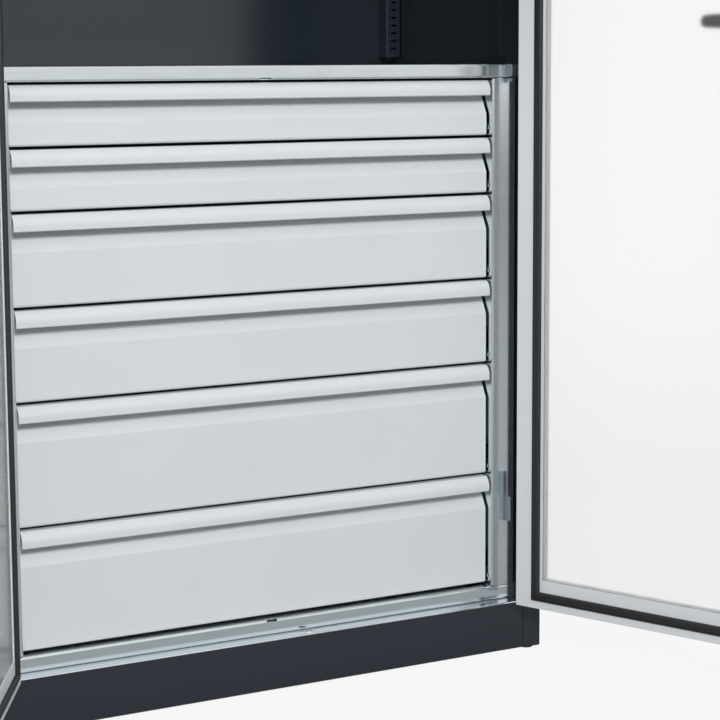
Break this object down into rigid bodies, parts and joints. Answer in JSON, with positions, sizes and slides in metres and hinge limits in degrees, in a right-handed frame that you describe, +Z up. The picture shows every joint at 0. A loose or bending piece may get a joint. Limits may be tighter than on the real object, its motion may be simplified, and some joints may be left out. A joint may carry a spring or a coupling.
{
  "type": "drawer cabinet",
  "caption": "Tall steel cupboard with framed window doors standing open on a block of full-extension drawers with rolled grips, and shelves above.",
  "frame": {"origin": "on the floor at the centre of the housing's footprint, between the four levelling feet", "axes": "+X to the right seen from the front, +Y to the rear, +Z up"},
  "size_m": [1.2481, 0.9041, 1.95],
  "materials": {
    "housing_paint": "satin powder coat",
    "drawer_paint": "satin powder coat",
    "door_paint": "satin powder coat",
    "zinc": "satin galvanised",
    "pane": "clear, fine grain",
    "seal": "matt",
    "foot": "matt",
    "lever_plastic": "fine texture"
  },
  "bodies": {
    "cabinet": {"left_side_panel": "housing_paint", "right_side_panel": "housing_paint", "rear_panel": "housing_paint", "roof_panel": "housing_paint", "floor_panel": "zinc", "front_plinth": "housing_paint", "levelling_feet": "foot", "shelf_uprights": "housing_paint", "upper_shelf": "housing_paint", "lower_shelf": "housing_paint", "shelf_clips": "zinc", "left_frame_post": "zinc", "right_frame_post": "zinc", "block_cover": "zinc", "block_bottom_rail": "zinc", "left_block_wall": "zinc", "right_block_wall": "zinc", "block_brackets": "zinc", "cabinet_slides": "zinc", "hinge_plates": "zinc", "hinge_pins": "zinc"},
    "drawer_1": {"drawer_front_1": "drawer_paint", "drawer_tray_1": "drawer_paint", "drawer_slides_1": "zinc"},
    "drawer_2": {"drawer_front_2": "drawer_paint", "drawer_tray_2": "drawer_paint", "drawer_slides_2": "zinc"},
    "drawer_3": {"drawer_front_3": "drawer_paint", "drawer_tray_3": "drawer_paint", "drawer_slides_3": "zinc"},
    "drawer_4": {"drawer_front_4": "drawer_paint", "drawer_tray_4": "drawer_paint", "drawer_slides_4": "zinc"},
    "drawer_5": {"drawer_front_5": "drawer_paint", "drawer_tray_5": "drawer_paint", "drawer_slides_5": "zinc"},
    "drawer_6": {"drawer_front_6": "drawer_paint", "drawer_tray_6": "drawer_paint", "drawer_slides_6": "zinc"},
    "runners_1": {"slide_runners_1": "zinc"},
    "runners_2": {"slide_runners_2": "zinc"},
    "runners_3": {"slide_runners_3": "zinc"},
    "runners_4": {"slide_runners_4": "zinc"},
    "runners_5": {"slide_runners_5": "zinc"},
    "runners_6": {"slide_runners_6": "zinc"},
    "left_door": {"left_door_skin": "door_paint", "left_door_liner": "door_paint", "left_door_pane": "pane", "left_door_seal": "seal", "left_hinge_leaves": "zinc"},
    "right_door": {"right_door_skin": "door_paint", "right_door_liner": "door_paint", "right_door_pane": "pane", "right_door_seal": "seal", "right_hinge_leaves": "zinc", "lever_rose": "lever_plastic"},
    "lever": {"lever_handle": "lever_plastic"},
    "key": {"key_cylinder": "zinc"},
    "upper_rod": {"upper_rod": "zinc"},
    "lower_rod": {"lower_rod": "zinc"}
  },
  "joints": [
    {"name": "drawer_1_slide", "type": "slide", "parent": "cabinet", "child": "drawer_1", "axis": [0, -1, 0], "range_m": [0, 0.4]},
    {"name": "drawer_2_slide", "type": "slide", "parent": "cabinet", "child": "drawer_2", "axis": [0, -1, 0], "range_m": [0, 0.4]},
    {"name": "drawer_3_slide", "type": "slide", "parent": "cabinet", "child": "drawer_3", "axis": [0, -1, 0], "range_m": [0, 0.4]},
    {"name": "drawer_4_slide", "type": "slide", "parent": "cabinet", "child": "drawer_4", "axis": [0, -1, 0], "range_m": [0, 0.4]},
    {"name": "drawer_5_slide", "type": "slide", "parent": "cabinet", "child": "drawer_5", "axis": [0, -1, 0], "range_m": [0, 0.4]},
    {"name": "drawer_6_slide", "type": "slide", "parent": "cabinet", "child": "drawer_6", "axis": [0, -1, 0], "range_m": [0, 0.4]},
    {"name": "runners_1_slide", "type": "slide", "parent": "cabinet", "child": "runners_1", "axis": [0, -1, 0], "range_m": [0, 0.2]},
    {"name": "runners_2_slide", "type": "slide", "parent": "cabinet", "child": "runners_2", "axis": [0, -1, 0], "range_m": [0, 0.2]},
    {"name": "runners_3_slide", "type": "slide", "parent": "cabinet", "child": "runners_3", "axis": [0, -1, 0], "range_m": [0, 0.2]},
    {"name": "runners_4_slide", "type": "slide", "parent": "cabinet", "child": "runners_4", "axis": [0, -1, 0], "range_m": [0, 0.2]},
    {"name": "runners_5_slide", "type": "slide", "parent": "cabinet", "child": "runners_5", "axis": [0, -1, 0], "range_m": [0, 0.2]},
    {"name": "runners_6_slide", "type": "slide", "parent": "cabinet", "child": "runners_6", "axis": [0, -1, 0], "range_m": [0, 0.2]},
    {"name": "left_door_hinge", "type": "hinge", "parent": "cabinet", "child": "left_door", "pos_m": [-0.429, -0.258, 1], "axis": [0, 0, -1], "range_deg": [-116, 0]},
    {"name": "right_door_hinge", "type": "hinge", "parent": "cabinet", "child": "right_door", "pos_m": [0.429, -0.258, 1], "axis": [0, 0, 1], "range_deg": [-116, 0]},
    {"name": "lever_turn", "type": "hinge", "parent": "right_door", "child": "lever", "pos_m": [0.59122, -0.60885, 1], "axis": [-0.8988, -0.4384, 0], "range_deg": [0, 90]},
    {"name": "key_turn", "type": "hinge", "parent": "lever", "child": "key", "pos_m": [0.59122, -0.60885, 1], "axis": [-0.8988, -0.4384, 0], "range_deg": [0, 90]},
    {"name": "upper_rod_slide", "type": "slide", "parent": "right_door", "child": "upper_rod", "axis": [0, 0, 1], "range_m": [0, 0.0151]},
    {"name": "lower_rod_slide", "type": "slide", "parent": "right_door", "child": "lower_rod", "axis": [0, 0, -1], "range_m": [0, 0.0151]}
  ],
  "couplings": [
    {"joint": "runners_1_slide", "follows": "drawer_1_slide", "ratio": 0.5},
    {"joint": "runners_2_slide", "follows": "drawer_2_slide", "ratio": 0.5},
    {"joint": "runners_3_slide", "follows": "drawer_3_slide", "ratio": 0.5},
    {"joint": "runners_4_slide", "follows": "drawer_4_slide", "ratio": 0.5},
    {"joint": "runners_5_slide", "follows": "drawer_5_slide", "ratio": 0.5},
    {"joint": "runners_6_slide", "follows": "drawer_6_slide", "ratio": 0.5},
    {"joint": "upper_rod_slide", "follows": "lever_turn", "m_per_rad": 0.0095493},
    {"joint": "lower_rod_slide", "follows": "lever_turn", "m_per_rad": 0.0095493}
  ]
}
